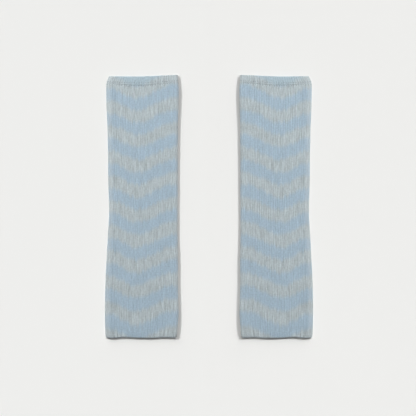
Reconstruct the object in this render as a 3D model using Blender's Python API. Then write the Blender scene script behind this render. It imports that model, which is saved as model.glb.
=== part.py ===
"""A pair of knitted leg warmers laid flat on a surface, at real size.

Metres, +Z up. The origin is the centre of the pair on the surface that it rests on. +Y runs from
the cast-off edge to the turned hem, and the two legs mirror each other across X = 0. Each leg is a
ribbed tube pressed flat, so that its two panels lie on each other, with a turned hem at the top.
"""

import math

import bmesh
import bpy

MM = 0.001

# Driving sizes, in millimetres.
LENGTH = 400.0
TOP_TILT = 2.0
WALL = 1.7
HEM_WALL = 1.95
SLIT = 0.35
SEAM_GAP = 0.3
FOLD_REACH = 3.4
RIBS_ACROSS = 28
RIB_RELIEF = 0.5
HEM_RIB_RELIEF = 0.4
BOTTOM_STEPS = 4
INNER_TOP_STEPS = 14
LIFT_WAVES = 2.3
LIFT_PHASE = 0.15
SAG_CENTRE = 0.4
SAG_SPREAD = 0.28
SHARP_ANGLE = math.radians(50.0)

# One rib: where along its pitch a point lies, and its share of the rib's relief.
RIB_POINTS = (
    # phase, relief
    (0.0, 0.0),
    (0.3, 1.0),
    (0.7, 1.0),
)

# A side fold, from the surface up to the top panel: angle in degrees, share of the relief.
FOLD_POINTS = (
    # angle, relief
    (-90.0, 0.0),
    (-58.0, 0.0),
    (-26.0, 0.0),
    (-2.0, 1.0),
    (20.0, 1.0),
    (42.0, 0.0),
    (60.0, 1.0),
    (76.0, 1.0),
)
INNER_FOLD_ANGLES = (-90.0, -45.0, 0.0, 45.0)

# Where round a section each stretch starts, going from the outer fold's foot along the underside,
# up the inner fold, back over the top panel and down the outer fold.
UNDERSIDE, INNER_FOLD, TOP_PANEL, OUTER_FOLD, ONCE_ROUND = 0.0, 1.0, 2.0, 3.0, 4.0

# How the top panel lies, from the outer fold (0) to the inner fold (1): puff is how far it stands
# off the lower panel, in millimetres, and bead its share of the side fold's rise.
TOP_PROFILE = (
    # share across, puff, bead
    (0.0, 0.0, 1.0),
    (0.03, 0.0, 1.0),
    (0.1, 0.1, 0.6),
    (0.17, 0.15, 0.1),
    (0.25, 0.5, 0.0),
    (0.35, 0.85, 0.0),
    (0.6, 0.55, 0.0),
    (0.88, 0.15, 0.05),
    (0.96, 0.0, 0.7),
    (1.0, 0.0, 1.0),
)

# Sections from the hem's fold to the seam below it, in millimetres. down is measured from the top
# edge, outer and inner are the side edges' distances from the mirror plane, tilt raises the inner
# end of the row, sag lowers its middle, pinch draws the outer skin in, rise is how far the side
# folds stand over two flat walls, puff scales the top panel's, and lift is the free edge's waves.
HEM_ROWS = (
    # down, outer, inner, tilt, sag, pinch, rise, puff, lift
    (0.0, 152.0, 48.4, TOP_TILT, 0.6, 0.75, 0.9, 0.7, 0.0),
    (0.5, 152.8, 47.7, TOP_TILT, 0.6, 0.3, 0.9, 0.7, 0.0),
    (1.6, 153.6, 47.5, TOP_TILT, 0.7, 0.0, 1.0, 0.8, 0.0),
    (5.5, 155.4, 48.0, 1.7, 1.2, 0.0, 1.2, 1.0, 0.0),
    (9.4, 157.0, 47.9, 1.3, 2.1, 0.0, 1.4, 1.0, 0.0),
    (11.3, 157.3, 48.1, 1.0, 2.6, 0.7, 1.5, 0.9, 0.0),
)

# Sections from the seam to the cast-off edge, with the same columns.
LEG_ROWS = (
    # down, outer, inner, tilt, sag, pinch, rise, puff, lift
    (11.3, 157.4, 48.0, 1.0, 2.6, 0.7, 1.9, 1.0, 0.0),
    (13.4, 157.6, 47.4, 0.9, 2.4, 0.05, 2.0, 1.0, 0.0),
    (22.0, 157.3, 46.6, 0.5, 1.4, 0.0, 2.0, 1.0, 0.0),
    (45.0, 157.0, 46.8, 0.0, 0.4, 0.0, 1.7, 1.0, 0.0),
    (78.0, 155.6, 47.8, 0.0, 0.0, 0.0, 1.3, 1.0, 0.0),
    (120.0, 154.7, 48.1, 0.0, 0.0, 0.0, 0.9, 1.0, 0.0),
    (160.0, 154.3, 48.0, 0.0, 0.0, 0.0, 0.6, 1.0, 0.0),
    (207.0, 153.0, 48.3, 0.0, 0.0, 0.0, 0.5, 1.0, 0.0),
    (240.0, 154.7, 48.3, 0.0, 0.0, 0.0, 0.6, 1.0, 0.0),
    (285.0, 157.1, 47.6, 0.0, 0.0, 0.0, 1.3, 1.0, 0.0),
    (325.0, 158.8, 47.8, 0.0, 0.0, 0.0, 1.6, 1.0, 0.0),
    (360.0, 159.4, 46.6, 0.0, 0.0, 0.0, 1.8, 0.9, 0.1),
    (382.0, 158.9, 48.2, 0.0, 0.0, 0.0, 2.0, 0.6, 0.3),
    (396.0, 157.8, 50.0, 0.0, 0.0, 0.0, 1.8, 0.35, 0.6),
    (400.0, 156.0, 52.0, 0.0, 0.0, 0.45, 1.5, 0.3, 0.7),
)

# Average colour of the two yarns as linear light, roughness.
LEG_COLOUR = (0.385, 0.463, 0.515, 1.0)
HEM_COLOUR = (0.405, 0.484, 0.535, 1.0)
YARN_ROUGHNESS = 0.95

SIDES = {"left": -1.0, "right": 1.0}


def clear_scene():
    """Removes whatever objects the file opened with."""
    for item in list(bpy.data.objects):
        bpy.data.objects.remove(item, do_unlink=True)


def eased(share):
    """A share from 0 to 1 with soft ends."""
    return share * share * (3.0 - 2.0 * share)


def top_panel(across):
    """The top panel's puff and its share of the fold's rise, read smoothly from TOP_PROFILE."""
    for (start, *low), (end, *high) in zip(TOP_PROFILE, TOP_PROFILE[1:]):
        if across <= end:
            way = eased((across - start) / (end - start))
            return [a + (b - a) * way for a, b in zip(low, high)]
    return TOP_PROFILE[-1][1:]


def edge_wave(across):
    """Soft waves of the free edge, from 0 to 1."""
    return 0.5 + 0.5 * math.cos(2.0 * math.pi * (LIFT_WAVES * across - LIFT_PHASE))


def climbing(angle):
    """Station of a point on the inner fold, which is followed upwards."""
    return INNER_FOLD + (angle + 90.0) / 180.0


def falling(angle):
    """Station of a point on the outer fold, which is followed downwards."""
    return OUTER_FOLD + (90.0 - angle) / 180.0


class Section:
    """One cross-section of a flattened tube, in millimetres."""

    def __init__(self, row, wall, relief, side, shift):
        """Keeps a table row's sizes; shift moves the whole section down the leg."""
        self.down, self.outer, self.inner, self.tilt, self.sag, self.pinch = row[:6]
        self.rise, self.puff, self.lift = row[6:]
        self.wall = wall
        self.relief = relief
        self.side = side
        self.shift = shift
        self.width = self.outer - self.inner - 2.0 * relief
        self.run = self.width - 2.0 * FOLD_REACH

    def place(self, station, along, height):
        """A point from its distance in from the outer edge and its height, with its station."""
        across = along / self.width
        dip = self.sag * math.exp(-(((across - SAG_CENTRE) / SAG_SPREAD) ** 2))
        top = (LENGTH - TOP_TILT) / 2.0
        y = top - self.down - self.shift + self.tilt * across - dip
        x = self.side * (self.outer - self.relief - along)
        return station, (x * MM, y * MM, height * MM)

    def panel_height(self, across):
        """Height of the top panel's valleys at a share across."""
        puff, bead = top_panel(across)
        flat = 2.0 * self.wall + SLIT
        return flat + puff * self.puff + bead * self.rise + self.lift * edge_wave(across)

    def fold_height(self, at_inner):
        """Height of the side fold at the inner or the outer edge."""
        return self.panel_height(1.0 if at_inner else 0.0)

    def fold_point(self, at_inner, angle, relief, inset):
        """A point of a side fold: distance in from the outer edge, and height."""
        turn = math.radians(angle)
        reach = FOLD_REACH - inset
        half = self.fold_height(at_inner) / 2.0
        rise = half - inset
        out = reach * math.cos(turn)
        up = rise * math.sin(turn)
        normal = (math.cos(turn) / reach, math.sin(turn) / rise)
        size = math.hypot(*normal)
        pinch = 0.0 if inset else self.pinch * (1.0 + math.sin(turn)) / 2.0
        move = relief * self.relief - pinch
        out += move * normal[0] / size
        up += move * normal[1] / size
        along = self.width - FOLD_REACH + out if at_inner else FOLD_REACH - out
        return along, half + up

    def outer_loop(self):
        """The outer skin's points, once round from the outer fold's foot."""
        points = []
        for step in range(1, BOTTOM_STEPS):
            share = step / BOTTOM_STEPS
            points.append(self.place(UNDERSIDE + share, FOLD_REACH + share * self.run, 0.0))
        for angle, relief in FOLD_POINTS:
            along, height = self.fold_point(True, angle, relief, 0.0)
            points.append(self.place(climbing(angle), along, height))
        for rib in range(RIBS_ACROSS):
            for phase, relief in RIB_POINTS:
                share = (rib + phase) / RIBS_ACROSS
                raised = self.panel_height(1.0 - share) + relief * self.relief - self.pinch
                along = self.width - FOLD_REACH - share * self.run
                points.append(self.place(TOP_PANEL + share, along, raised))
        along, height = self.fold_point(False, 90.0, 0.0, 0.0)
        points.append(self.place(OUTER_FOLD, along, height))
        for angle, relief in reversed(FOLD_POINTS):
            along, height = self.fold_point(False, angle, relief, 0.0)
            points.append(self.place(falling(angle), along, height))
        return points

    def inner_loop(self):
        """The plain inner skin's points, in the same order."""
        points = [self.place(UNDERSIDE + 0.5, self.width / 2.0, self.wall)]
        for angle in INNER_FOLD_ANGLES:
            along, height = self.fold_point(True, angle, 0.0, self.wall)
            points.append(self.place(climbing(angle), along, height))
        for step in range(INNER_TOP_STEPS):
            share = step / INNER_TOP_STEPS
            height = self.panel_height(1.0 - share) - self.wall
            along = self.width - FOLD_REACH - share * self.run
            points.append(self.place(TOP_PANEL + share, along, height))
        points.append(self.place(OUTER_FOLD, FOLD_REACH, self.fold_height(False) - self.wall))
        for angle in reversed(INNER_FOLD_ANGLES):
            along, height = self.fold_point(False, angle, 0.0, self.wall)
            points.append(self.place(falling(angle), along, height))
        return points


def add_loop(mesh, points):
    """Adds a loop's points to the mesh, as pairs of station and vertex."""
    return [(station, mesh.verts.new(place)) for station, place in points]


def wrap(mesh, first, second):
    """Joins two loops of as many points with a band of quads."""
    count = len(first)
    for this in range(count):
        after = (this + 1) % count
        mesh.faces.new((first[this][1], first[after][1], second[after][1], second[this][1]))


def rim(mesh, skin, lining):
    """Joins an end's outer loop to its inner loop, stepping along whichever is behind."""
    loops = [loop + [(loop[0][0] + ONCE_ROUND, loop[0][1])] for loop in (skin, lining)]
    steps = []
    for which, loop in enumerate(loops):
        steps += [(loop[index][0], which, index) for index in range(1, len(loop))]
    here = [0, 0]
    for _, which, index in sorted(steps):
        corners = (loops[0][here[0]], loops[1][here[1]], loops[which][index])
        mesh.faces.new([vertex for _, vertex in corners])
        here[which] = index


def tube(name, rows, wall, relief, side, seam_row, clearance, colour):
    """Builds one open-ended flattened tube as a closed wall, with its own material.

    The section number seam_row lies at the seam between hem and leg, and is moved down by
    clearance, which keeps the two pieces apart there.
    """
    mesh = bmesh.new()
    skins = []
    linings = []
    for number, row in enumerate(rows):
        shift = clearance if number == seam_row else 0.0
        section = Section(row, wall, relief, side, shift)
        skins.append(add_loop(mesh, section.outer_loop()))
        linings.append(add_loop(mesh, section.inner_loop()))
    for above, below in zip(skins, skins[1:]):
        wrap(mesh, above, below)
    for above, below in zip(linings, linings[1:]):
        wrap(mesh, below, above)
    rim(mesh, skins[0], linings[0])
    rim(mesh, skins[-1], linings[-1])
    bmesh.ops.recalc_face_normals(mesh, faces=mesh.faces)
    data = bpy.data.meshes.new(name)
    mesh.to_mesh(data)
    mesh.free()
    data.shade_smooth()
    data.set_sharp_from_angle(angle=SHARP_ANGLE)
    data.materials.append(yarn(name, colour))
    item = bpy.data.objects.new(name, data)
    bpy.context.scene.collection.objects.link(item)
    return item


def yarn(name, colour):
    """A matt knitted yarn."""
    material = bpy.data.materials.new(name + "_yarn")
    material.use_nodes = True
    shader = material.node_tree.nodes["Principled BSDF"]
    shader.inputs["Base Color"].default_value = colour
    shader.inputs["Roughness"].default_value = YARN_ROUGHNESS
    shader.inputs["Metallic"].default_value = 0.0
    material.diffuse_color = colour
    return material


def leg(name, side):
    """One ribbed leg tube, from the seam under the hem to the cast-off edge."""
    room = SEAM_GAP / 2.0
    return tube("leg_" + name, LEG_ROWS, WALL, RIB_RELIEF, side, 0, room, LEG_COLOUR)


def hem(name, side):
    """The turned hem at the top of one leg, a doubled and slightly thicker band."""
    last = len(HEM_ROWS) - 1
    room = -SEAM_GAP / 2.0
    return tube("hem_" + name, HEM_ROWS, HEM_WALL, HEM_RIB_RELIEF, side, last, room, HEM_COLOUR)


clear_scene()
for side_name, side_sign in SIDES.items():
    leg(side_name, side_sign)
    hem(side_name, side_sign)
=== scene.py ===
"""Looks of a pair of fine-rib knitted leg warmers laid flat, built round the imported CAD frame.

Metres, +Z up, as in the frame. The tables below are in millimetres: down runs along a leg from the
hem's fold to the cast-off edge, and across runs in from the leg's outer edge. They follow the
solids to within 2 mm. The two legs mirror each other across X = 0.
"""

import logging
import math
from dataclasses import dataclass
from enum import Enum
from typing import Iterable, Sequence

import bpy
import numpy as np
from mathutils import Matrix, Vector


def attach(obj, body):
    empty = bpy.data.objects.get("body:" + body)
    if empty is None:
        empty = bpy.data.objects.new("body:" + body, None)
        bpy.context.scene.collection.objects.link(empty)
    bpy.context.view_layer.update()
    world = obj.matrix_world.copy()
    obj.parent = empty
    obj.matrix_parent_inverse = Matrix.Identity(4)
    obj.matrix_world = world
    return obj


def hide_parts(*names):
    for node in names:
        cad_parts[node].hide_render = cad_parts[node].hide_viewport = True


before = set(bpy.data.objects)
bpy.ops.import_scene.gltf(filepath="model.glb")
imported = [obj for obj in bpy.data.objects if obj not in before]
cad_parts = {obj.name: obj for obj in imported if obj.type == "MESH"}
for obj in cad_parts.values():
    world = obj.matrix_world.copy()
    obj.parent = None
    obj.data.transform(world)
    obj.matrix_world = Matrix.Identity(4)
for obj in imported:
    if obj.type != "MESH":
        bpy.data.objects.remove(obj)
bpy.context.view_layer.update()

LOG = logging.getLogger("leg_warmers")
MM = 0.001

Array = np.ndarray
Tree, Socket = bpy.types.NodeTree, bpy.types.NodeSocket
Object, Material = bpy.types.Object, bpy.types.Material
MATH, RANGE, NOISE = "ShaderNodeMath", "ShaderNodeMapRange", "ShaderNodeTexNoise"
# A colour mix's inputs for its share and two colours, and its output.
MIX_SHARE, MIX_FIRST, MIX_SECOND, MIX_RESULT = 0, 6, 7, 2

# A leg's length, how much higher its top edge is at the inner end, and where the hem is linked.
LENGTH = 400.0
TOP_TILT = 2.0
SEAM_DOWN = 11.3
# Where a row sags most and how widely, in shares of its width.
SAG_CENTRE, SAG_SPREAD = 0.45, 0.33
# How many waves the lifted cast-off edge has, and where the first one stands.
LIFT_WAVES, LIFT_PHASE = 2.3, 0.15
# How far in from its edge a side fold reaches.
FOLD_REACH = 3.4
# The slit between the two panels, and the least of it that a crease leaves.
SLIT = 0.35
LEAST_SLIT = 0.1

# Sections of a leg, close to the solids': the side edges' distances from the mirror plane, how
# far the row tilts and sags, how far the skin is drawn in, the side folds' rise, the top panel's
# puff and the free edge's waves.
COLUMNS = ("down", "outer", "inner", "tilt", "sag", "pinch", "rise", "puff", "lift")
HEM_ROWS = (
    (0.0, 152.0, 48.4, TOP_TILT, 1.0, 0.75, 0.6, 0.7, 0.0),
    (0.5, 152.8, 47.7, TOP_TILT, 1.0, 0.3, 0.7, 0.7, 0.0),
    (1.6, 153.6, 47.5, TOP_TILT, 1.1, 0.1, 0.9, 0.8, 0.0),
    (5.5, 155.4, 47.6, 1.7, 1.8, 0.1, 1.2, 1.0, 0.0),
    (9.4, 156.8, 47.4, 1.3, 2.9, 0.32, 1.4, 1.0, 0.0),
    (11.3, 157.1, 47.4, 1.0, 3.4, 0.45, 1.5, 0.9, 0.0),
)
LEG_ROWS = (
    (11.3, 157.3, 47.3, 1.0, 3.4, 0.14, 1.9, 1.0, 0.0),
    (13.4, 157.5, 47.0, 0.9, 3.1, 0.09, 2.0, 1.0, 0.0),
    (22.0, 157.3, 46.4, 0.5, 1.8, 0.0, 2.0, 1.0, 0.0),
    (45.0, 157.0, 46.8, 0.0, 0.4, 0.0, 1.7, 1.0, 0.0),
    (78.0, 155.6, 47.8, 0.0, 0.0, 0.0, 1.3, 1.0, 0.0),
    (120.0, 154.7, 48.1, 0.0, 0.0, 0.0, 0.9, 1.0, 0.0),
    (160.0, 154.3, 48.0, 0.0, 0.0, 0.0, 0.6, 1.0, 0.0),
    (207.0, 153.0, 48.3, 0.0, 0.0, 0.0, 0.5, 1.0, 0.0),
    (240.0, 154.7, 48.3, 0.0, 0.0, 0.0, 0.6, 1.0, 0.0),
    (285.0, 157.1, 47.6, 0.0, 0.0, 0.0, 1.3, 1.0, 0.0),
    (325.0, 158.8, 47.8, 0.0, 0.0, 0.0, 1.6, 1.0, 0.0),
    (360.0, 159.4, 46.6, 0.0, 0.0, 0.0, 1.8, 0.9, 0.1),
    (382.0, 158.9, 48.0, 0.0, 0.0, 0.0, 2.0, 0.6, 0.3),
    (396.0, 158.5, 49.2, 0.0, 0.0, 0.0, 0.9, 0.25, 0.45),
    (400.0, 157.7, 50.5, 0.0, 0.0, 0.2, 0.3, 0.15, 0.45),
)

# How the top panel lies from the outer fold (0) to the inner fold (1): its share of the puff and
# its share of the side fold's rise.
TOP_PROFILE = (
    (0.0, 0.0, 0.6),
    (0.03, 0.0, 0.75),
    (0.075, 0.05, 1.0),
    (0.115, 0.1, 0.55),
    (0.155, 0.15, 0.1),
    (0.25, 0.5, 0.0),
    (0.35, 0.85, 0.0),
    (0.6, 0.55, 0.0),
    (0.88, 0.15, 0.05),
    (0.96, 0.0, 0.7),
    (1.0, 0.0, 1.0),
)

# How far the cast-off edge strays down the leg, in millimetres, by share across, and how far up
# the leg that is felt.
END_WAVE = (
    (0.0, 0.0),
    (0.09, 0.5),
    (0.26, -0.6),
    (0.46, 0.3),
    (0.64, 0.7),
    (0.82, -0.4),
    (1.0, 0.0),
)
END_WAVE_REACH = 18.0

# Ribs round the tube: 28 on each panel and 3 on each side fold.
PANEL_RIBS, FOLD_RIBS = 28, 3
INNER_FOOT = float(PANEL_RIBS)
TOP_START = INNER_FOOT + FOLD_RIBS
TOP_END = TOP_START + PANEL_RIBS
ALL_RIBS = int(TOP_END) + FOLD_RIBS
# Where the folds get a painted highlight, in ribs from the outer fold's middle: full and none.
OUTER_HIGHLIGHT = (1.3, 3.1)
INNER_HIGHLIGHT = (30.3, 29.3)
# Angles on a side fold, in degrees, where one rib ends and the next begins.
FOLD_VALLEYS = (-90.0, -26.0, 42.0, 90.0)

# Seeds and cell sizes of the unevenness: how the ribs wander and vary in height, by rib and by
# millimetre down, how lumpy the cloth lies, by millimetre across and down, and how unequal the
# linking stitches are, by stitch.
WANDER_NOISE = (11, (4.0, 34.0))
HEIGHT_NOISE = (23, (1.0, 30.0))
LUMP_NOISE = (37, (13.0, 19.0))
LINK_SEED, LINK_CELL = 53, (1.3, 1.0)


class Side(Enum):
    """Which leg of the pair, as the sign of its X."""

    LEFT = -1.0
    RIGHT = 1.0

    @property
    def word(self) -> str:
        """The side's name in piece names."""
        return self.name.lower()


class Part(Enum):
    """The two fabrics of a leg: its name, and the material slot of the record."""

    LEG = ("leg", "rib_knit")
    HEM = ("hem", "hem_knit")

    @property
    def word(self) -> str:
        """The part's name in node and piece names."""
        return self.value[0]

    @property
    def slot(self) -> str:
        """The record's material slot."""
        return self.value[1]


def eased(share: Array) -> Array:
    """A share from 0 to 1 with soft ends."""
    share = np.clip(share, 0.0, 1.0)
    return share * share * (3.0 - 2.0 * share)


def through(knots: Sequence[float], values: Sequence[float], at: Array) -> Array:
    """Reads a smooth curve through a table's points that never swings past them.

    Args:
        knots: rising places of the table's points.
        values: the table's value at each knot.
        at: where the curve is read.

    Returns:
        The curve's values at those places.
    """
    knots, values = np.asarray(knots, float), np.asarray(values, float)
    steps = np.diff(knots)
    rises = np.diff(values) / steps
    slopes = np.zeros(len(knots))
    slopes[0], slopes[-1] = rises[0], rises[-1]
    pair = rises[:-1] + rises[1:]
    product = rises[:-1] * rises[1:]
    np.divide(2.0 * product, pair, out=slopes[1:-1], where=(product > 0.0))
    at = np.clip(at, knots[0], knots[-1])
    which = np.clip(np.searchsorted(knots, at, side="right") - 1, 0, len(steps) - 1)
    step = steps[which]
    way = (at - knots[which]) / step
    low, high = values[which], values[which + 1]
    lift = way * (1.0 - way) * step
    bend = (1.0 - way) * slopes[which] - way * slopes[which + 1]
    swing = (1.0 - 2.0 * way) * (high - low)
    return low + (high - low) * way + lift * bend - way * (1.0 - way) * swing


def linear_colour(code: str) -> tuple[float, float, float, float]:
    """Turns an sRGB hex colour into linear light.

    Args:
        code: six hex digits after a hash.

    Returns:
        Red, green, blue and alpha as linear light.
    """
    shares = [int(code[place:place + 2], 16) / 255.0 for place in (1, 3, 5)]
    light = [s / 12.92 if s <= 0.04045 else ((s + 0.055) / 1.055) ** 2.4 for s in shares]
    return (*light, 1.0)


def add_node(tree: Tree, kind: str, inputs: dict | None = None, give: int | str = 0,
             **settings: object) -> Socket | None:
    """Adds a node with its settings and its links.

    Args:
        tree: the node tree that it joins.
        kind: the node's type name.
        inputs: by socket name or number, a value or the socket that is linked to it.
        give: the name or number of the output to hand back.
        **settings: the node's own properties.

    Returns:
        That output, or None for a node that has none.
    """
    node = tree.nodes.new(kind)
    for name, value in settings.items():
        setattr(node, name, value)
    for name, value in (inputs or {}).items():
        if isinstance(value, Socket):
            tree.links.new(value, node.inputs[name])
        else:
            node.inputs[name].default_value = value
    return node.outputs[give] if node.outputs else None


def blank_material(name: str) -> Material:
    """Makes a material without any nodes.

    Args:
        name: the material's name.

    Returns:
        The new material.
    """
    material = bpy.data.materials.new(name)
    material.use_nodes = True
    material.node_tree.nodes.clear()
    return material


def add_object(name: str, data: bpy.types.ID) -> Object:
    """Adds an object to the scene.

    Args:
        name: the object's name.
        data: its mesh, lamp or camera.

    Returns:
        The new object.
    """
    item = bpy.data.objects.new(name, data)
    bpy.context.scene.collection.objects.link(item)
    return item


class Unevenness:
    """Smooth seeded noise over a plane, from -1 to 1, for what a hand or a yarn leaves uneven."""

    LATTICE_SIZE = 64

    def __init__(self, seed: int, cell: tuple[float, float]) -> None:
        """Draws the lattice.

        Args:
            seed: the random draw's seed.
            cell: size of one lattice cell along the two coordinates.
        """
        shape = (self.LATTICE_SIZE, self.LATTICE_SIZE)
        self.lattice = np.random.default_rng(seed).uniform(-1.0, 1.0, shape)
        self.cell = cell

    def at(self, first: Array, second: Array) -> Array:
        """Reads the noise.

        Args:
            first: places along the first coordinate.
            second: places along the second coordinate.

        Returns:
            The noise there.
        """
        size = self.LATTICE_SIZE
        first, second = np.broadcast_arrays(first / self.cell[0], second / self.cell[1])
        low_a, low_b = np.floor(first).astype(int), np.floor(second).astype(int)
        way_a, way_b = eased(first - low_a), eased(second - low_b)
        total = np.zeros(first.shape)
        for step_a, share_a in ((0, 1.0 - way_a), (1, way_a)):
            for step_b, share_b in ((0, 1.0 - way_b), (1, way_b)):
                corner = self.lattice[(low_a + step_a) % size, (low_b + step_b) % size]
                total += corner * share_a * share_b
        return total


@dataclass(frozen=True)
class Crease:
    """One soft trough pressed into a panel, in millimetres; a negative depth is a ridge.

    slant is the turn of its length from straight across towards the hem at the inner side.
    """

    across: float
    down: float
    length: float
    half_width: float
    slant: float
    depth: float
    bend: float = 0.0

    def depth_at(self, across: Array, down: Array) -> Array:
        """Works out how deep the trough is.

        Args:
            across: distances in from the outer edge.
            down: distances down.

        Returns:
            The depths there.
        """
        turn = math.radians(self.slant)
        right, below = across - self.across, down - self.down
        way = right * math.cos(turn) - below * math.sin(turn)
        off = right * math.sin(turn) + below * math.cos(turn) - self.bend * way * way
        spread = 0.5 * self.length
        return self.depth * np.exp(-((way / spread) ** 2) - (off / self.half_width) ** 2)


# Creases of the panel that faces up, placed as the photo's slow light and shade show them.
TOP_CREASES = (
    # across, down, length, half width, slant, depth, bend
    Crease(14.5, 252.0, 66.0, 5.5, 91.0, 0.30),
    Crease(14.0, 338.0, 58.0, 6.0, 88.0, 0.34),
    Crease(15.5, 60.0, 64.0, 6.0, 90.0, 0.22),
    Crease(51.0, 171.0, 15.0, 7.0, 12.0, 0.34),
    Crease(48.0, 131.0, 12.0, 5.5, -8.0, 0.22),
    Crease(78.6, 141.0, 14.0, 5.0, 20.0, 0.20),
    Crease(48.0, 238.0, 13.0, 5.0, 5.0, 0.22),
    Crease(84.7, 268.7, 32.0, 8.5, 44.0, 0.30, 0.004),
    Crease(84.7, 305.0, 28.0, 6.0, 20.0, 0.25, -0.005),
    Crease(86.0, 348.0, 34.0, 10.0, 8.0, 0.24),
    Crease(30.0, 205.0, 26.0, 7.0, -24.0, 0.14, 0.006),
    Crease(66.0, 92.0, 34.0, 8.0, 16.0, 0.13),
    Crease(88.0, 52.0, 22.0, 6.5, -30.0, 0.16),
    Crease(36.0, 372.0, 30.0, 6.5, -10.0, 0.16),
    Crease(60.0, 214.0, 40.0, 11.0, -15.0, -0.14),
    Crease(70.0, 326.0, 30.0, 9.0, 28.0, -0.12),
    Crease(12.5, 9.8, 16.0, 3.0, 0.0, 0.22),
    Crease(84.0, 9.6, 22.0, 3.0, 0.0, 0.20),
)

# Creases of the panel that lies on the ground. The photo doesn't show it, so these are of the
# same kind and about as uneven as those on the other panel.
UNDER_CREASES = (
    Crease(22.0, 84.0, 52.0, 6.0, 84.0, 0.26),
    Crease(90.0, 190.0, 70.0, 6.5, 95.0, 0.30),
    Crease(40.0, 140.0, 30.0, 7.5, -32.0, 0.28, 0.005),
    Crease(58.0, 236.0, 24.0, 6.0, 14.0, 0.22),
    Crease(30.0, 300.0, 36.0, 8.0, 38.0, 0.30, -0.004),
    Crease(76.0, 330.0, 18.0, 5.5, -12.0, 0.20),
    Crease(62.0, 52.0, 26.0, 7.0, 22.0, 0.20),
    Crease(48.0, 372.0, 42.0, 7.0, 6.0, 0.18),
)

# How far the stripes stray up the leg where it was laid unevenly, in millimetres: by distance
# down, the whole stripe, the further rise of its crest at the inner fold and its trough's place
# across.
STRIPE_STRAY = (
    (0.0, 0.0, 0.0, 0.0),
    (90.0, 0.7, 0.4, -0.9),
    (165.0, 1.3, 1.1, -3.6),
    (205.0, 1.8, 1.2, -3.8),
    (240.0, 2.2, 1.2, -2.6),
    (310.0, 1.6, 0.4, -0.6),
    (356.0, 1.1, -0.5, 0.9),
    (392.0, -2.8, -2.0, 0.9),
)


@dataclass(frozen=True)
class Wave:
    """The stripes' wave: a rounded chevron with its crests at the side folds, in millimetres."""

    trough: float = 46.0
    outer_crest: float = 5.0
    inner_crest: float = 102.0
    outer_height: float = 14.5
    inner_height: float = 19.3
    period: float = 38.5
    first_grey: float = 23.6
    sharpness: float = 0.7

    def phase(self, across: Array, down: Array) -> Array:
        """Works out where in the stripes a place lies.

        Args:
            across: distances in from the outer edge.
            down: distances down.

        Returns:
            Whole numbers in the middle of the grey bands and halves in the middle of the blue.
        """
        places, strays, crests, troughs = zip(*STRIPE_STRAY)
        trough = self.trough + through(places, troughs, down)
        inward = across > trough
        reach = np.where(inward, self.inner_crest - trough, trough - self.outer_crest)
        inner_height = self.inner_height + through(places, crests, down)
        height = np.where(inward, inner_height, self.outer_height)
        way = np.clip(np.abs(across - trough) / reach, 0.0, 1.0)
        full = math.asin(self.sharpness)
        climb = 0.5 - 0.5 * np.arcsin(self.sharpness * np.cos(math.pi * way)) / full
        stray = through(places, strays, down)
        return (down + height * climb + stray - self.first_grey) / self.period


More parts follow.
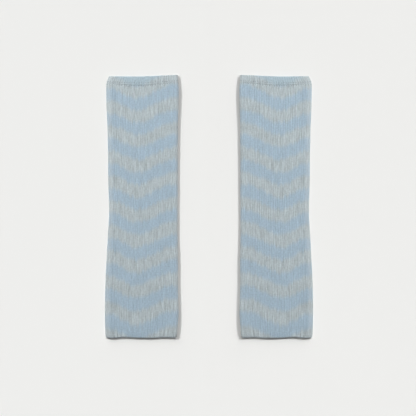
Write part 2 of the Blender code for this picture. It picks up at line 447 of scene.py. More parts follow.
@dataclass(frozen=True)
class Tube:
    """The form of one flattened ribbed tube in millimetres, read at any rib and distance down.

    A rib coordinate goes once round: the underside from the outer fold's foot inwards, the inner
    fold upwards, the top panel back, and the outer fold down. The ribs stand proud on the top
    panel and are pressed flat on the underside; foot_ribs of a fold lie between the two.
    """

    side: Side
    rows: tuple[tuple[float, ...], ...]
    wall: float
    relief: float
    under_relief: float = 0.22
    wander: float = 0.22
    lumps: float = 0.10
    rib_variation: float = 0.28
    ridge_power: int = 3
    foot_ribs: float = 1.2

    def row_sizes(self, down: Array) -> dict[str, Array]:
        """The table's columns at distances down."""
        table = list(zip(*self.rows))
        return {name: through(table[0], table[place], down)
                for place, name in enumerate(COLUMNS) if place}

    def panel_height(self, across: Array, sizes: dict[str, Array]) -> Array:
        """Works out how high the top panel's valleys lie.

        Args:
            across: shares across, from the outer fold to the inner.
            sizes: the rows' sizes there.

        Returns:
            The heights.
        """
        shares, puffs, beads = zip(*TOP_PROFILE)
        lift = 0.5 + 0.5 * np.cos(2.0 * math.pi * (LIFT_WAVES * across - LIFT_PHASE))
        raised = through(shares, puffs, across) * sizes["puff"]
        raised = raised + through(shares, beads, across) * sizes["rise"] + sizes["lift"] * lift
        return 2.0 * self.wall + SLIT + raised

    def around(self, rib: Array, down: Array, inset: float = 0.0) -> tuple[Array, ...]:
        """Works out points of a skin within their own section.

        Args:
            rib: rib coordinates.
            down: distances down, of the same shape as rib.
            inset: how far the skin lies inside the outer one; 0 or the wall.

        Returns:
            Distance in from the outer edge, height, share across and the rows' sizes.
        """
        sizes = self.row_sizes(down)
        width = sizes["outer"] - sizes["inner"] - 2.0 * self.relief
        run = width - 2.0 * FOLD_REACH
        under, top = rib < INNER_FOOT, (rib >= TOP_START) & (rib <= TOP_END)
        at_inner = (rib >= INNER_FOOT) & (rib < TOP_START)
        fold_rib = np.where(at_inner, rib - INNER_FOOT, ALL_RIBS - rib)
        turn = np.radians(np.interp(fold_rib, range(FOLD_RIBS + 1), FOLD_VALLEYS))
        half = self.panel_height(np.where(at_inner, 1.0, 0.0), sizes) / 2.0
        reach, climb = FOLD_REACH - inset, half - inset
        out, up = reach * np.cos(turn), climb * np.sin(turn)
        lean, stand = np.cos(turn) / reach, np.sin(turn) / climb
        size = np.hypot(lean, stand)
        lean, stand = lean / size, stand / size

        rib_way = np.where(under, rib / PANEL_RIBS, 1.0 - (rib - TOP_START) / PANEL_RIBS)
        along = np.where(under | top, FOLD_REACH + np.clip(rib_way, 0.0, 1.0) * run, 0.0)
        if not inset:
            drift = Unevenness(*WANDER_NOISE).at(rib, down)
            along = along + np.where(top | under, self.wander * drift, 0.0)
        across = along / width
        flat = self.panel_height(across, sizes) - inset
        height = np.where(under, inset, np.where(top, flat, half + up))
        lean = np.where(under | top, 0.0, np.where(at_inner, lean, -lean))
        stand = np.where(under, -1.0, np.where(top, 1.0, stand))
        folded = np.where(at_inner, width - FOLD_REACH + out, FOLD_REACH - out)
        along = np.where(under | top, along, folded)

        move = self.pressed(along, down, under, top, turn, inset)
        if not inset:
            draw = np.where(under, 0.0, np.where(top, 1.0, (1.0 + np.sin(turn)) / 2.0))
            move = move + self.ribbing(rib, down, fold_rib, under, top) - sizes["pinch"] * draw
        least = self.wall + LEAST_SLIT if inset else 2.0 * self.wall + LEAST_SLIT
        along, height = along + move * lean, height + move * stand
        height = np.where(top, np.maximum(height, least), np.maximum(height, inset))
        return along, height, along / width, sizes

    def ribbing(self, rib: Array, down: Array, fold_rib: Array, under: Array, top: Array) -> Array:
        """Works out how far each rib stands off its valleys.

        Args:
            rib: rib coordinates.
            down: distances down.
            fold_rib: ribs up from a side fold's foot.
            under: where the rib is on the underside.
            top: where it is on the top panel.

        Returns:
            The relief, which is negative in the valleys of the pressed underside.
        """
        ridge = 1.0 - np.abs(np.cos(math.pi * rib)) ** self.ridge_power
        uneven = Unevenness(*HEIGHT_NOISE).at(np.floor(rib), down)
        height = 1.0 + self.rib_variation * uneven
        proud = self.relief * height * ridge
        pressed = -self.under_relief * (1.0 - ridge)
        foot = eased(fold_rib / self.foot_ribs)
        on_fold = foot * proud + (1.0 - foot) * pressed
        return np.where(under, pressed, np.where(top, proud, on_fold))

    def pressed(self, along: Array, down: Array, under: Array, top: Array,
                turn: Array, inset: float) -> Array:
        """Works out how far creases and soft lumps move a skin outward.

        Args:
            along: distances in from the outer edge.
            down: distances down.
            under: where the skin is on the underside.
            top: where it is on the top panel.
            turn: angles on the side folds.
            inset: 0 for the outer skin, the wall for the lining, which lies flat underneath.

        Returns:
            The moves.
        """
        on_top = sum(crease.depth_at(along, down) for crease in TOP_CREASES)
        below = sum(crease.depth_at(along, down) for crease in UNDER_CREASES)
        lump = self.lumps * Unevenness(*LUMP_NOISE).at(along, down)
        share = np.where(top, 1.0, np.where(under, 0.0, np.clip(np.sin(turn), 0.0, 1.0)))
        move = share * (lump - on_top)
        return move if inset else move - np.where(under, np.abs(below), 0.0)

    def place(self, rib: Array, down: Array, inset: float = 0.0) -> Array:
        """Points of a skin in metres.

        Args:
            rib: rib coordinates.
            down: distances down, of the same shape as rib.
            inset: how far the skin lies inside the outer one; 0 or the wall.

        Returns:
            The points, with X, Y and Z along the last axis.
        """
        rib, down = np.broadcast_arrays(np.asarray(rib, float), np.asarray(down, float))
        along, height, across, sizes = self.around(rib, down, inset)
        dip = sizes["sag"] * np.exp(-(((across - SAG_CENTRE) / SAG_SPREAD) ** 2))
        stray = through(*zip(*END_WAVE), across) * eased(1.0 - (LENGTH - down) / END_WAVE_REACH)
        y = (LENGTH - TOP_TILT) / 2.0 - down + sizes["tilt"] * across * across - dip - stray
        x = self.side.value * (sizes["outer"] - self.relief - along)
        return np.stack([x, y, height], axis=-1) * MM

    def distance_across(self, rib: Array, down: Array) -> Array:
        """Distance in from the outer edge, in millimetres."""
        return self.around(rib, down)[0]


@dataclass(frozen=True)
class KnitShell:
    """One knitted tube as a closed wall: outer skin, rolled end, inner skin and the other end.

    first and last are its ends down the leg, and each roll is how far that end rounds over.
    """

    name: str
    tube: Tube
    first: float
    last: float
    row_step: float
    roll_first: float
    roll_last: float
    course_pitch: float = 1.8
    lining_rows: int = 22
    roll_steps: int = 5
    columns_per_rib: tuple[int, int, int] = (4, 6, 8)

    def columns(self) -> Array:
        """Spaces the columns closest where the cloth shows.

        Returns:
            Their rib coordinates, once round.
        """
        under, fold, top = self.columns_per_rib
        runs = ((PANEL_RIBS, under), (FOLD_RIBS, fold), (PANEL_RIBS, top), (FOLD_RIBS, fold))
        start, pieces = 0.0, []
        for ribs, steps in runs:
            pieces.append(start + np.arange(ribs * steps) / steps)
            start += ribs
        return np.concatenate(pieces)

    def end_roll(self, down: float, outward: float, columns: Array,
                 leaving: bool) -> tuple[list[Array], list[float]]:
        """Rings that round an end of the wall over, between its two skins.

        Args:
            down: distance down of the wall's end before it is rounded.
            outward: how far the rounding stands out; positive is towards the cast-off edge.
            columns: rib coordinates of the columns.
            leaving: True from the outer skin to the inner, False the other way.

        Returns:
            The rings' points and their distances down.
        """
        skin = self.tube.place(columns, down)
        lining = self.tube.place(columns, down, self.tube.wall)
        middle, half = (skin + lining) / 2.0, (skin - lining) / 2.0
        turns = np.linspace(0.0, math.pi, self.roll_steps + 2)[1:-1]
        rings, downs = [], []
        for turn in turns if leaving else turns[::-1]:
            ring = middle + half * math.cos(turn)
            ring[:, 1] -= outward * MM * math.sin(turn)
            rings.append(ring)
            downs.append(down + outward * math.sin(turn))
        return rings, downs

    def build(self) -> Object:
        """Makes the mesh with its knit map and its stripe phase.

        Returns:
            The new object.
        """
        columns = self.columns()
        start = self.first + self.roll_first
        end = self.last - self.roll_last
        down_rows = np.linspace(start, end, max(3, round((end - start) / self.row_step)) + 1)
        lining = np.linspace(end, start, self.lining_rows + 1)
        rings = list(self.tube.place(*np.meshgrid(columns, down_rows)))
        downs = list(down_rows)
        turned, places = self.end_roll(end, self.roll_last, columns, True)
        rings, downs = rings + turned, downs + places
        rings += list(self.tube.place(*np.meshgrid(columns, lining), self.tube.wall))
        downs += list(lining)
        turned, places = self.end_roll(start, -self.roll_first, columns, False)
        rings, downs = rings + turned, downs + places
        return self.finish_mesh(np.array(rings), np.array(downs), columns)

    def finish_mesh(self, rings: Array, downs: Array, columns: Array) -> Object:
        """Joins the rings into a closed surface.

        Args:
            rings: points by ring and column.
            downs: each ring's distance down.
            columns: rib coordinates of the columns.

        Returns:
            The new object.
        """
        ring_count, count = len(rings), len(columns)
        ring, column = np.meshgrid(np.arange(ring_count), np.arange(count), indexing="ij")
        after, below = (column + 1) % count, (ring + 1) % ring_count
        corners = ((ring, column), (ring, after), (below, after), (below, column))
        faces = np.stack([r * count + c for r, c in corners], axis=-1).reshape(-1, 4)
        closed = np.append(columns, float(ALL_RIBS))
        courses = downs / self.course_pitch
        ribs = np.stack([closed[column], closed[column + 1]] * 2, axis=-1)[..., (0, 1, 3, 2)]
        heights = np.stack([courses[ring]] * 2 + [courses[below]] * 2, axis=-1)
        knit = np.stack([ribs.reshape(-1, 4), heights.reshape(-1, 4)], axis=-1)
        if self.tube.side is Side.RIGHT:
            faces, knit = faces[:, ::-1], knit[:, ::-1]
        points = rings.reshape(-1, 3)
        mesh = bpy.data.meshes.new(self.name)
        mesh.from_pydata(points.tolist(), [], faces.tolist())
        layer = mesh.uv_layers.new(name="knit")
        layer.uv.foreach_set("vector", np.ascontiguousarray(knit, np.float32).ravel())
        across = self.tube.distance_across(*np.meshgrid(columns, downs))
        phase = Wave().phase(across, downs[:, None])
        stripe = mesh.attributes.new("stripe_phase", "FLOAT", "POINT")
        stripe.data.foreach_set("value", phase.astype(np.float32).ravel())
        mesh.shade_smooth()
        return add_object(self.name, mesh)


class YarnWork:
    """Gathers strands of yarn into one mesh."""

    # Where a strand's round ends start and stop, in radians of a half turn.
    END_ANGLE = 0.35

    def __init__(self, name: str, radius: float, sides: int = 6) -> None:
        """Starts an empty piece.

        Args:
            name: the piece's name.
            radius: the yarn's radius in millimetres.
            sides: corners round the yarn.
        """
        self.name, self.radius, self.sides = name, radius * MM, sides
        self.points: list[Array] = []
        self.faces: list[tuple[int, ...]] = []

    def strand(self, path: Array, closed: bool) -> None:
        """Adds one round strand along a path, with rounded ends unless it is closed.

        Args:
            path: points along the strand's middle, in metres.
            closed: True for a loop.
        """
        count = len(path)
        if closed:
            ahead = np.roll(path, -1, axis=0) - np.roll(path, 1, axis=0)
        else:
            ahead = np.gradient(path, axis=0)
        ahead /= np.linalg.norm(ahead, axis=1, keepdims=True)
        side = np.cross(ahead, (0.0, 0.0, 1.0))
        flat = np.linalg.norm(side, axis=1, keepdims=True)
        side = np.where(flat > 1e-6, side / np.maximum(flat, 1e-9), (1.0, 0.0, 0.0))
        up = np.cross(side, ahead)
        bulge = np.sin(np.linspace(self.END_ANGLE, math.pi - self.END_ANGLE, count))
        thick = np.ones(count) if closed else bulge ** 0.5
        base = self.sides * len(self.points)
        turns = 2.0 * math.pi * np.arange(self.sides) / self.sides
        across, above = np.cos(turns)[:, None], np.sin(turns)[:, None]
        for row in range(count):
            reach = self.radius * thick[row]
            self.points.append(path[row] + reach * (across * side[row] + above * up[row]))
        for row in range(count if closed else count - 1):
            below = (row + 1) % count
            for step in range(self.sides):
                after = (step + 1) % self.sides
                corners = ((row, step), (below, step), (below, after), (row, after))
                self.faces.append(tuple(base + r * self.sides + s for r, s in corners))
        if not closed:
            first_ring = range(base, base + self.sides)
            last_ring = range(base + (count - 1) * self.sides, base + count * self.sides)
            self.faces += [tuple(first_ring), tuple(reversed(last_ring))]

    def build(self) -> Object:
        """Makes the piece from all its strands.

        Returns:
            The new object.
        """
        mesh = bpy.data.meshes.new(self.name)
        mesh.from_pydata(np.concatenate(self.points).tolist(), [], self.faces)
        mesh.shade_smooth()
        return add_object(self.name, mesh)


@dataclass(frozen=True)
class KnitFinish:
    """Brushed rib knit: a soft fuzzy yarn, knitted in the round and worn flat.

    It looks matt and cushiony, and its fuzz glows a little where the cloth turns away. Streaks run
    along the ribs, the two yarns meet in soft uneven edges, the valleys between ribs get painted
    shade and the side folds a painted highlight, paler on the outer fold.
    The real courses are about 1.4 mm apart. They are drawn 1.8 mm apart, so that they still show.
    """

    name: str
    blue: str = "#ADC2D1"
    grey: str = "#BDC8CC"
    # Painted highlight: a pale colour mixed along the side folds, and how much of it each fold
    # gets.
    fold_highlight_colour: str = "#DFE4E4"
    outer_highlight: float = 0.22
    inner_highlight: float = 0.14
    roughness: float = 0.92
    ior: float = 1.5
    specular: float = 0.25
    sheen: float = 0.55
    sheen_roughness: float = 0.5
    sheen_tint: str = "#EEF3F6"
    # Shares of one repeat of the stripes.
    grey_half: float = 0.253
    edge_softness: float = 0.125
    edge_jag: float = 0.10
    # Noise cells to a rib and to a course: streaks about 1.7 by 21 mm, flecks about 3 by 2 mm.
    streak_cells: tuple[float, float, float] = (2.1, 0.085, 1.0)
    fleck_cells: tuple[float, float, float] = (1.25, 0.8, 1.0)
    streak_fray: float = 0.65
    fleck_fray: float = 0.6
    blue_streak: float = 0.18
    grey_streak: float = 0.44
    marl: float = 0.2
    # Painted shade: how much darker each yarn is painted in the valleys between ribs.
    blue_valley_shade: float = 0.01
    grey_valley_shade: float = 0.04
    valley_sharpness: float = 5.0
    # The bump: metres from the valley to a loop's back, then shares of the loops' height.
    stitch_height: float = 0.00022
    column_height: float = 0.6
    fibre_height: float = 1.6
    # Loose fibre about 0.6 by 0.3 mm, and courses that a V's arm rises in one rib's width.
    fibre_cells: float = 6.0
    arm_slope: float = -1.1
    bump_strength: float = 0.8

    def build(self) -> Material:
        """Makes the material.

        Returns:
            The new material.
        """
        material = blank_material(self.name)
        tree = material.node_tree
        knit = add_node(tree, "ShaderNodeUVMap", uv_map="knit")
        rib = add_node(tree, "ShaderNodeSeparateXYZ", {"Vector": knit})
        course = rib.node.outputs["Y"]
        valley = self.valley(tree, rib)
        shade = self.colour(tree, knit, valley, self.grey_share(tree, rib))
        shader = add_node(tree, "ShaderNodeBsdfPrincipled", {
            "Base Color": self.paint_fold_highlights(tree, rib, shade),
            "Roughness": self.roughness,
            "IOR": self.ior,
            "Specular IOR Level": self.specular,
            "Sheen Weight": self.sheen,
            "Sheen Roughness": self.sheen_roughness,
            "Sheen Tint": linear_colour(self.sheen_tint),
            "Normal": self.stitches(tree, knit, rib, course, valley),
        })
        add_node(tree, "ShaderNodeOutputMaterial", {"Surface": shader})
        return material

    def grey_share(self, tree: Tree, rib: Socket) -> Socket:
        """Works out how far the grey yarn shows, with a band's edge stepping from rib to rib.

        Args:
            tree: the material's nodes.
            rib: the rib coordinate.

        Returns:
            1 in a grey band and 0 in a blue one.
        """
        phase = add_node(tree, "ShaderNodeAttribute", give="Fac", attribute_name="stripe_phase")
        number = add_node(tree, MATH, {0: rib}, operation="FLOOR")
        twice = add_node(tree, MATH, {0: phase, 1: 2.0}, operation="MULTIPLY")
        edge = add_node(tree, MATH, {0: twice}, operation="FLOOR")
        cell = add_node(tree, "ShaderNodeCombineXYZ", {"X": number, "Y": edge})
        dice = add_node(tree, "ShaderNodeTexWhiteNoise", {"Vector": cell}, noise_dimensions="2D")
        jag = add_node(tree, MATH, {0: dice, 1: self.edge_jag, 2: phase},
                       operation="MULTIPLY_ADD")
        middle = add_node(tree, MATH, {0: jag, 1: -0.5 * self.edge_jag}, operation="ADD")
        whole = add_node(tree, MATH, {0: middle}, operation="ROUND")
        gap = add_node(tree, MATH, {0: middle, 1: whole}, operation="SUBTRACT")
        away = add_node(tree, MATH, {0: gap}, operation="ABSOLUTE")
        return add_node(tree, RANGE, {
            "Value": away,
            "From Min": self.grey_half - self.edge_softness,
            "From Max": self.grey_half + self.edge_softness,
            "To Min": 1.0,
            "To Max": 0.0,
        }, interpolation_type="SMOOTHSTEP")

    def colour(self, tree: Tree, knit: Socket, valley: Socket, grey: Socket) -> Socket:
        """Colours the two yarns, with their streaks, their flecks and painted shade in the valleys.

        Args:
            tree: the material's nodes.
            knit: rib and course coordinates.
            valley: 1 between two ribs.
            grey: how far the grey yarn shows.

        Returns:
            The colour.
        """
        yarns = add_node(tree, "ShaderNodeMix", {
            MIX_SHARE: grey,
            MIX_FIRST: linear_colour(self.blue),
            MIX_SECOND: linear_colour(self.grey),
        }, MIX_RESULT, data_type="RGBA")
        streak, fleck = (
            add_node(tree, NOISE, {
                "Vector": add_node(tree, "ShaderNodeMapping", {"Vector": knit, "Scale": cells}),
                "Scale": 1.0,
                "Detail": 2.0,
                "Roughness": fray,
            }, noise_dimensions="2D")
            for cells, fray in ((self.streak_cells, self.streak_fray),
                                (self.fleck_cells, self.fleck_fray))
        )
        # Streak strength, and the painted shade in the valleys, by how much grey shows.
        strength, depth = (
            add_node(tree, RANGE, {"Value": grey, "To Min": in_blue, "To Max": in_grey})
            for in_blue, in_grey in ((2.0 * self.blue_streak, 2.0 * self.grey_streak),
                                     (-self.blue_valley_shade, -self.grey_valley_shade))
        )
        centred = add_node(tree, MATH, {0: streak, 1: 0.5}, operation="SUBTRACT")
        level = add_node(tree, MATH, {0: centred, 1: strength, 2: 1.0}, operation="MULTIPLY_ADD")
        for first, second in ((fleck, 2.0 * self.marl), (valley, depth)):
            level = add_node(tree, MATH, {0: first, 1: second, 2: level},
                             operation="MULTIPLY_ADD")
        level = add_node(tree, MATH, {0: level, 1: self.marl}, operation="SUBTRACT")
        return add_node(tree, "ShaderNodeVectorMath", {0: yarns, "Scale": level},
                        operation="SCALE")

    def paint_fold_highlights(self, tree: Tree, rib: Socket, shade: Socket) -> Socket:
        """Mixes a painted highlight, a pale colour, along the two side folds.

        Args:
            tree: the material's nodes.
            rib: the rib coordinate.
            shade: the yarns' colour.

        Returns:
            The colour with its painted fold highlights.
        """
        moved = add_node(tree, MATH, {0: rib, 1: FOLD_RIBS / 2.0}, operation="ADD")
        away = add_node(tree, MATH, {0: moved, 1: ALL_RIBS / 2.0}, operation="PINGPONG")
        outer, inner = (
            add_node(tree, RANGE, {
                "Value": away,
                "From Min": none,
                "From Max": full,
                "To Max": most,
            }, interpolation_type="SMOOTHSTEP")
            for (full, none), most in ((OUTER_HIGHLIGHT, self.outer_highlight), (INNER_HIGHLIGHT, self.inner_highlight))
        )
        share = add_node(tree, MATH, {0: outer, 1: inner}, operation="ADD")
        return add_node(tree, "ShaderNodeMix", {
            MIX_SHARE: share,
            MIX_FIRST: shade,
            MIX_SECOND: linear_colour(self.fold_highlight_colour),
        }, MIX_RESULT, data_type="RGBA")

    def valley(self, tree: Tree, rib: Socket) -> Socket:
        """Marks the valleys between ribs.

        Args:
            tree: the material's nodes.
            rib: the rib coordinate.

        Returns:
            1 between two ribs, falling to 0 on their backs.
        """
        turn = add_node(tree, MATH, {0: rib, 1: math.pi}, operation="MULTIPLY")
        wave = add_node(tree, MATH, {0: turn}, operation="COSINE")
        size = add_node(tree, MATH, {0: wave}, operation="ABSOLUTE")
        return add_node(tree, MATH, {0: size, 1: self.valley_sharpness}, operation="POWER")

    def stitches(self, tree: Tree, knit: Socket, rib: Socket, course: Socket,
                 valley: Socket) -> Socket:
        """Raises columns of V-shaped stitches, one to a rib, with loose fibre over them.

        Args:
            tree: the material's nodes.
            knit: rib and course coordinates.
            rib: the rib coordinate.
            course: the course coordinate.
            valley: 1 between two ribs.

        Returns:
            The bumped normal.
        """
        place = add_node(tree, MATH, {0: rib}, operation="FRACT")
        off = add_node(tree, MATH, {0: place, 1: 0.5}, operation="SUBTRACT")
        arm = add_node(tree, MATH, {0: off}, operation="ABSOLUTE")
        lifted = add_node(tree, MATH, {0: arm, 1: self.arm_slope, 2: course},
                          operation="MULTIPLY_ADD")
        turn = add_node(tree, MATH, {0: lifted, 1: 2.0 * math.pi}, operation="MULTIPLY")
        loops = add_node(tree, MATH, {0: turn}, operation="SINE")
        fibre = add_node(tree, NOISE, {
            "Vector": knit,
            "Scale": self.fibre_cells,
            "Detail": 3.0,
            "Roughness": 0.7,
        }, noise_dimensions="2D")
        back = add_node(tree, MATH, {0: 1.0, 1: valley}, operation="SUBTRACT")
        column = add_node(tree, MATH, {0: loops, 1: self.column_height}, operation="ADD")
        columns = add_node(tree, MATH, {0: column, 1: back}, operation="MULTIPLY")
        height = add_node(tree, MATH, {0: fibre, 1: self.fibre_height, 2: columns},
                          operation="MULTIPLY_ADD")
        return add_node(tree, "ShaderNodeBump", {
            "Height": height,
            "Distance": self.stitch_height,
            "Strength": self.bump_strength,
        })


@dataclass(frozen=True)
class GrainedFinish:
    """A matt finish with a fine grain, which breaks up its light and may shade it a little."""

    name: str
    colour: str
    roughness: float
    specular: float
    grains_per_metre: float
    grain_height: float
    bump_strength: float
    sheen: float = 0.0
    shading: tuple[float, float] | None = None

    def build(self) -> Material:
        """Makes the material.

        Returns:
            The new material.
        """
        material = blank_material(self.name)
        tree = material.node_tree
        grain = add_node(tree, NOISE, {
            "Vector": add_node(tree, "ShaderNodeTexCoord", give="Object"),
            "Scale": self.grains_per_metre,
            "Detail": 2.0,
        })
        colour = linear_colour(self.colour)
        if self.shading:
            dark, light = self.shading
            level = add_node(tree, RANGE, {"Value": grain, "To Min": dark, "To Max": light})
            colour = add_node(tree, "ShaderNodeVectorMath", {0: colour[:3], "Scale": level},
                              operation="SCALE")
        shader = add_node(tree, "ShaderNodeBsdfPrincipled", {
            "Base Color": colour,
            "Roughness": self.roughness,
            "Specular IOR Level": self.specular,
            "Sheen Weight": self.sheen,
            "Normal": add_node(tree, "ShaderNodeBump", {
                "Height": grain,
                "Distance": self.grain_height,
                "Strength": self.bump_strength,
            }),
        })
        add_node(tree, "ShaderNodeOutputMaterial", {"Surface": shader})
        return material


@dataclass(frozen=True)
class YarnFinish(GrainedFinish):
    """A single strand of the same brushed yarn: matt, with a twist that shades it in fine bands.

    Its plies are about 0.5 mm apart. They are drawn 1.1 mm apart, so that they still show.
    """

    roughness: float = 0.9
    specular: float = 0.25
    grains_per_metre: float = 900.0
    grain_height: float = 0.0002
    bump_strength: float = 0.6
    sheen: float = 0.25
    shading: tuple[float, float] | None = (0.85, 1.12)


@dataclass(frozen=True)
class PaperFinish(GrainedFinish):
    """Matt seamless studio paper: an even pale ground that only shows soft shadows.

    Its fibres are finer than the picture can show, so its grain is drawn 1.4 mm apart and faint.
    """

    name: str = "matt_studio_paper"
    colour: str = "#EDEDEB"
    roughness: float = 0.95
    specular: float = 0.1
    grains_per_metre: float = 700.0
    grain_height: float = 0.00004
    bump_strength: float = 0.3


@dataclass(frozen=True)
class Finishes:
    """The materials that the pieces share."""

    leg: Material
    hem: Material
    linking: Material
    cast_off: Material


@dataclass(frozen=True)
class LinkingStitches:
    """Two rows of small slanted stitches, which link the turned hem to the leg.

    rows holds where each row's stitches start and end, down from the seam. The stitches lie sunk
    in the knit, and their ends dive into it.
    """

    hem: Tube
    leg: Tube
    rows: tuple[tuple[float, float], ...] = ((-3.5, -1.7), (-0.8, 1.2))
    yarn_radius: float = 0.4
    sunk: float = 0.1
    dive: float = 0.5
    # In ribs: where on its rib a stitch starts, and how far across it slants.
    start: float = 0.28
    slant: float = 0.44
    unequal: float = 0.4
    points: int = 7

    def build(self) -> Object:
        """Makes both rows, one stitch to a rib.

        Returns:
            The new object.
        """
        work = YarnWork(f"linking_{self.leg.side.word}", self.yarn_radius)
        way = np.linspace(0.0, 1.0, self.points)
        for number, (first, last) in enumerate(self.rows):
            uneven = Unevenness(LINK_SEED + number, LINK_CELL)
            share = 1.0 + self.unequal * uneven.at(np.arange(ALL_RIBS), 0.0)
            tube = self.hem if last < 0.0 else self.leg
            for rib in range(ALL_RIBS):
                ribs = rib + self.start + self.slant * way
                downs = SEAM_DOWN + first + (last - first) * share[rib] * way
                on_tube = np.maximum(downs, tube.rows[0][0])
                skin = tube.place(ribs, on_tube)
                inward = tube.place(ribs, on_tube, tube.wall) - skin
                inward /= np.linalg.norm(inward, axis=1, keepdims=True)
                depth = self.sunk + self.dive * (2.0 * way - 1.0) ** 4
                path = skin + inward * MM * depth[:, None]
                path[:, 1] = skin[0, 1] - MM * (downs - downs[0])
                path[:, 2] = np.maximum(path[:, 2], self.yarn_radius * MM)
                work.strand(path, closed=False)
        return work.build()


@dataclass(frozen=True)
class CastOffChain:
    """The chain of loops that closes the last course, lying on the rolled edge.

    Each loop stands proud of the edge, at a slight tilt, half_height up and down from the wall's
    middle. It reaches half_reach ribs to either side, so that it overlaps the next one.
    """

    tube: Tube
    down: float
    proud: float = 0.4
    half_height: float = 0.42
    half_reach: float = 0.66
    tilt: float = 0.12
    yarn_radius: float = 0.3
    points: int = 14

    def build(self) -> Object:
        """Makes the chain, one loop to a rib.

        Returns:
            The new object.
        """
        work = YarnWork(f"cast_off_{self.tube.side.word}", self.yarn_radius)
        turns = 2.0 * math.pi * np.arange(self.points) / self.points
        for rib in range(ALL_RIBS):
            ribs = (rib + 0.5 + self.half_reach * np.cos(turns)) % ALL_RIBS
            skin = self.tube.place(ribs, np.full(self.points, self.down))
            lining = self.tube.place(ribs, np.full(self.points, self.down), self.tube.wall)
            middle = (skin + lining) / 2.0
            through_wall = skin - lining
            through_wall /= np.linalg.norm(through_wall, axis=1, keepdims=True)
            path = middle + through_wall * (self.half_height * MM * np.sin(turns))[:, None]
            path[:, 1] -= MM * (self.proud + self.tilt * np.cos(turns))
            path[:, 2] = np.maximum(path[:, 2], self.yarn_radius * MM)
            work.strand(path, closed=True)
        return work.build()


@dataclass(frozen=True)
class LegWarmer:
    """One leg warmer: the ribbed leg, the turned hem, their linking stitches and the edge chain."""

    side: Side
    wall: float = 1.7
    hem_wall: float = 1.95
    relief: float = 0.34
    hem_relief: float = 0.32
    flat_width: float = 0.222
    leg_flat_length: float = 0.389
    hem_flat_length: float = 0.0125

    def fabric(self, part: Part) -> KnitShell:
        """Lays out one of the two shells.

        Args:
            part: the leg or the hem.

        Returns:
            Its shell.
        """
        name = f"{part.word}_knit_{self.side.word}"
        if part is Part.LEG:
            tube = Tube(self.side, LEG_ROWS, self.wall, self.relief)
            return KnitShell(name, tube, first=SEAM_DOWN, last=LENGTH, row_step=2.2,
                             roll_first=0.0, roll_last=0.5)
        tube = Tube(self.side, HEM_ROWS, self.hem_wall, self.hem_relief)
        return KnitShell(name, tube, first=0.0, last=SEAM_DOWN, row_step=0.9,
                         roll_first=0.85, roll_last=0.0, lining_rows=4)

    def build(self, finishes: Finishes, ground: Object) -> list[Object]:
        """Args:
            finishes: the shared materials.
            ground: what it rests on; not used.

        Returns:
            The pieces.
        """
        leg_shell, hem_shell = self.fabric(Part.LEG), self.fabric(Part.HEM)
        leg, hem = leg_shell.build(), hem_shell.build()
        linking = LinkingStitches(hem_shell.tube, leg_shell.tube).build()
        chain = CastOffChain(leg_shell.tube, leg_shell.last - leg_shell.roll_last).build()
        dressing = (
            (leg, finishes.leg, Part.LEG),
            (hem, finishes.hem, Part.HEM),
            (linking, finishes.linking, Part.HEM),
            (chain, finishes.cast_off, Part.LEG),
        )
        for piece, material, part in dressing:
            piece.data.materials.append(material)
            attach(piece, "root")
            part.slot
        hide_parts(f"leg_{self.side.word}")
        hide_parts(f"hem_{self.side.word}")
        return [leg, hem, linking, chain]


@dataclass(frozen=True)
class Ground:
    """The pale ground, in two halves that meet between the legs, each lit with its own leg."""

    reach: float = 8.0
    drop: float = 0.00005

    def build(self, side: Side, paper: Material) -> Object:
        """Makes one half.

        Args:
            side: the half under that leg.
            paper: its material.

        Returns:
            The half.
        """
        far = side.value * self.reach
        corners = [(0.0, -self.reach), (far, -self.reach), (far, self.reach), (0.0, self.reach)]
        if side is Side.LEFT:
            corners.reverse()
        mesh = bpy.data.meshes.new(f"ground_{side.word}")
        mesh.from_pydata([(x, y, -self.drop) for x, y in corners], [], [(0, 1, 2, 3)])
        mesh.materials.append(paper)
        half = add_object(mesh.name, mesh)
        return half


@dataclass(frozen=True)
class Sun:
    """A far lamp. For each unit that its light falls, it goes so far inward and down the leg."""

    name: str
    strength: float
    spread: float
    inward: float
    down_leg: float

    def build(self, side: Side | None = None) -> Object:
        """Adds the lamp.

        Args:
            side: the leg whose outer side it stands on, or None for one that lights both.

        Returns:
            The lamp.
        """
        sign = side.value if side else 1.0
        lamp = bpy.data.lights.new(f"{self.name}_{side.word}" if side else self.name, "SUN")
        lamp.energy, lamp.angle = self.strength, math.radians(self.spread)
        item = add_object(lamp.name, lamp)
        aim(item, Vector((-sign * self.inward, -self.down_leg, -1.0)))
        return item


@dataclass(frozen=True)
class Softbox:
    """A square diffused lamp for one leg, aimed at its middle, in metres and watts."""

    name: str
    power: float
    size: float
    place: tuple[float, float, float]
    target: tuple[float, float, float]

    def build(self, side: Side) -> Object:
        """Adds the lamp.

        Args:
            side: the leg whose lamp it is.

        Returns:
            The lamp.
        """
        lamp = bpy.data.lights.new(f"{self.name}_{side.word}", "AREA")
        lamp.energy, lamp.size = self.power, self.size
        item = add_object(lamp.name, lamp)
        item.location = (side.value * self.place[0], *self.place[1:])
        aim(item, Vector((side.value * self.target[0], *self.target[1:])) - item.location)
        return item


def aim(lamp: Object, travel: Vector) -> None:
    """Turns a lamp so that its light travels that way."""
    lamp.rotation_mode = "QUATERNION"
    lamp.rotation_quaternion = travel.to_track_quat("-Z", "Y")


def light_only(lamp: Object, lit: Iterable[Object], casting: Iterable[Object]) -> None:
    """Limits a lamp.

    Args:
        lamp: the lamp.
        lit: what it lights.
        casting: what casts a shadow in its light.
    """
    groups = []
    for word, pieces in (("lit", lit), ("casting", casting)):
        group = bpy.data.collections.new(f"{lamp.name}_{word}")
        for piece in pieces:
            group.objects.link(piece)
        groups.append(group)
    lamp.light_linking.receiver_collection, lamp.light_linking.blocker_collection = groups


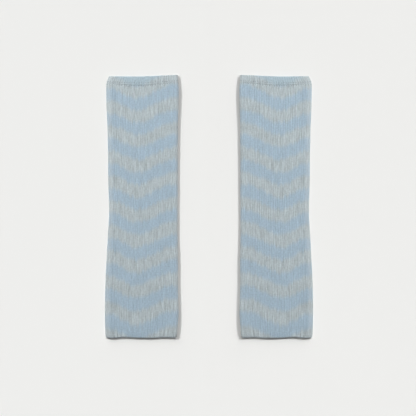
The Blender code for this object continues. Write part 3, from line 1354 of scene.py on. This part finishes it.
@dataclass(frozen=True)
class Studio:
    """Plain soft light, mirrored for the two legs: in the photo each is lit from its outer side.

    The top lamp and the fill light everything. The edge and low lamps light only the ground, where
    they draw a leg's shadow, and the softboxes light only their own leg warmer.
    """

    edge: Sun = Sun("edge_light", strength=2.16, spread=3.5, inward=1.23, down_leg=0.95)
    top: Sun = Sun("top_light", strength=1.1, spread=8.0, inward=0.0, down_leg=0.72)
    low: Sun = Sun("low_light", strength=1.5, spread=40.0, inward=1.6, down_leg=3.0)
    outer: Softbox = Softbox("outer_softbox", 8.9, 0.6, (1.0, 0.75, 0.9), (0.1, 0.0, 0.0))
    inner: Softbox = Softbox("inner_softbox", 5.6, 0.6, (-0.7, 0.65, 1.1), (0.1, 0.0, 0.0))
    fill: float = 0.22

    def build(self) -> None:
        """Adds the top lamp, past the hems, and the even fill.

        Every lamp is sampled by itself, because a light tree mixes up lamps that each light only
        some of the pieces.
        """
        bpy.context.scene.cycles.use_light_tree = False
        self.top.build()
        world = bpy.data.worlds.new("studio_fill")
        world.use_nodes = True
        background = world.node_tree.nodes["Background"]
        background.inputs["Color"].default_value = (1.0, 1.0, 1.0, 1.0)
        background.inputs["Strength"].default_value = self.fill
        bpy.context.scene.world = world

    def light_leg(self, side: Side, ground: Object, pieces: list[Object]) -> None:
        """Adds one leg's own lamps.

        Args:
            side: which leg.
            ground: its half of the ground.
            pieces: the leg warmer's pieces.
        """
        for lamp in (self.edge, self.low):
            light_only(lamp.build(side), [ground], pieces)
        for lamp in (self.outer, self.inner):
            light_only(lamp.build(side), pieces, pieces)


@dataclass(frozen=True)
class Camera:
    """The photo's camera: straight above the pair, with the hems at the top of the picture."""

    height: float = 2.0
    view_width: float = 0.63756
    sensor: float = 36.0
    centre: tuple[float, float] = (-0.00153, -0.0030)

    def build(self) -> None:
        """Adds the camera and makes it the scene's own."""
        data = bpy.data.cameras.new("camera")
        data.sensor_width = self.sensor
        data.lens = self.sensor * self.height / self.view_width
        item = add_object("camera", data)
        item.location = (*self.centre, self.height)
        bpy.context.scene.camera = item


def main() -> None:
    """Builds the pair, its ground, its lights and the camera."""
    logging.basicConfig(level=logging.INFO, format="%(message)s")
    finishes = Finishes(
        leg=KnitFinish("brushed_rib_knit").build(),
        # The hem's paler blue is a painted highlight: the same yarn as the leg's, lighter where
        # light falls on the hem's roll.
        hem=KnitFinish("brushed_rib_knit_hem", blue="#B2C5CF").build(),
        # The linking yarn's dark grey-blue is partly its own colour and partly painted shade for
        # the groove at the seam.
        linking=YarnFinish("linking_yarn", "#8E9CA3").build(),
        cast_off=YarnFinish("cast_off_yarn", "#A8B9C4").build(),
    )
    paper = PaperFinish().build()
    studio = Studio()
    studio.build()
    for side in Side:
        half = Ground().build(side, paper)
        pieces = LegWarmer(side).build(finishes, half)
        studio.light_leg(side, half, pieces)
        for piece in pieces:
            LOG.info("%s: %d faces", piece.name, len(piece.data.polygons))
    Camera().build()
    bpy.context.scene.view_settings.view_transform = "Standard"
    LOG.info("lights and camera placed")


if __name__ == "__main__":
    main()
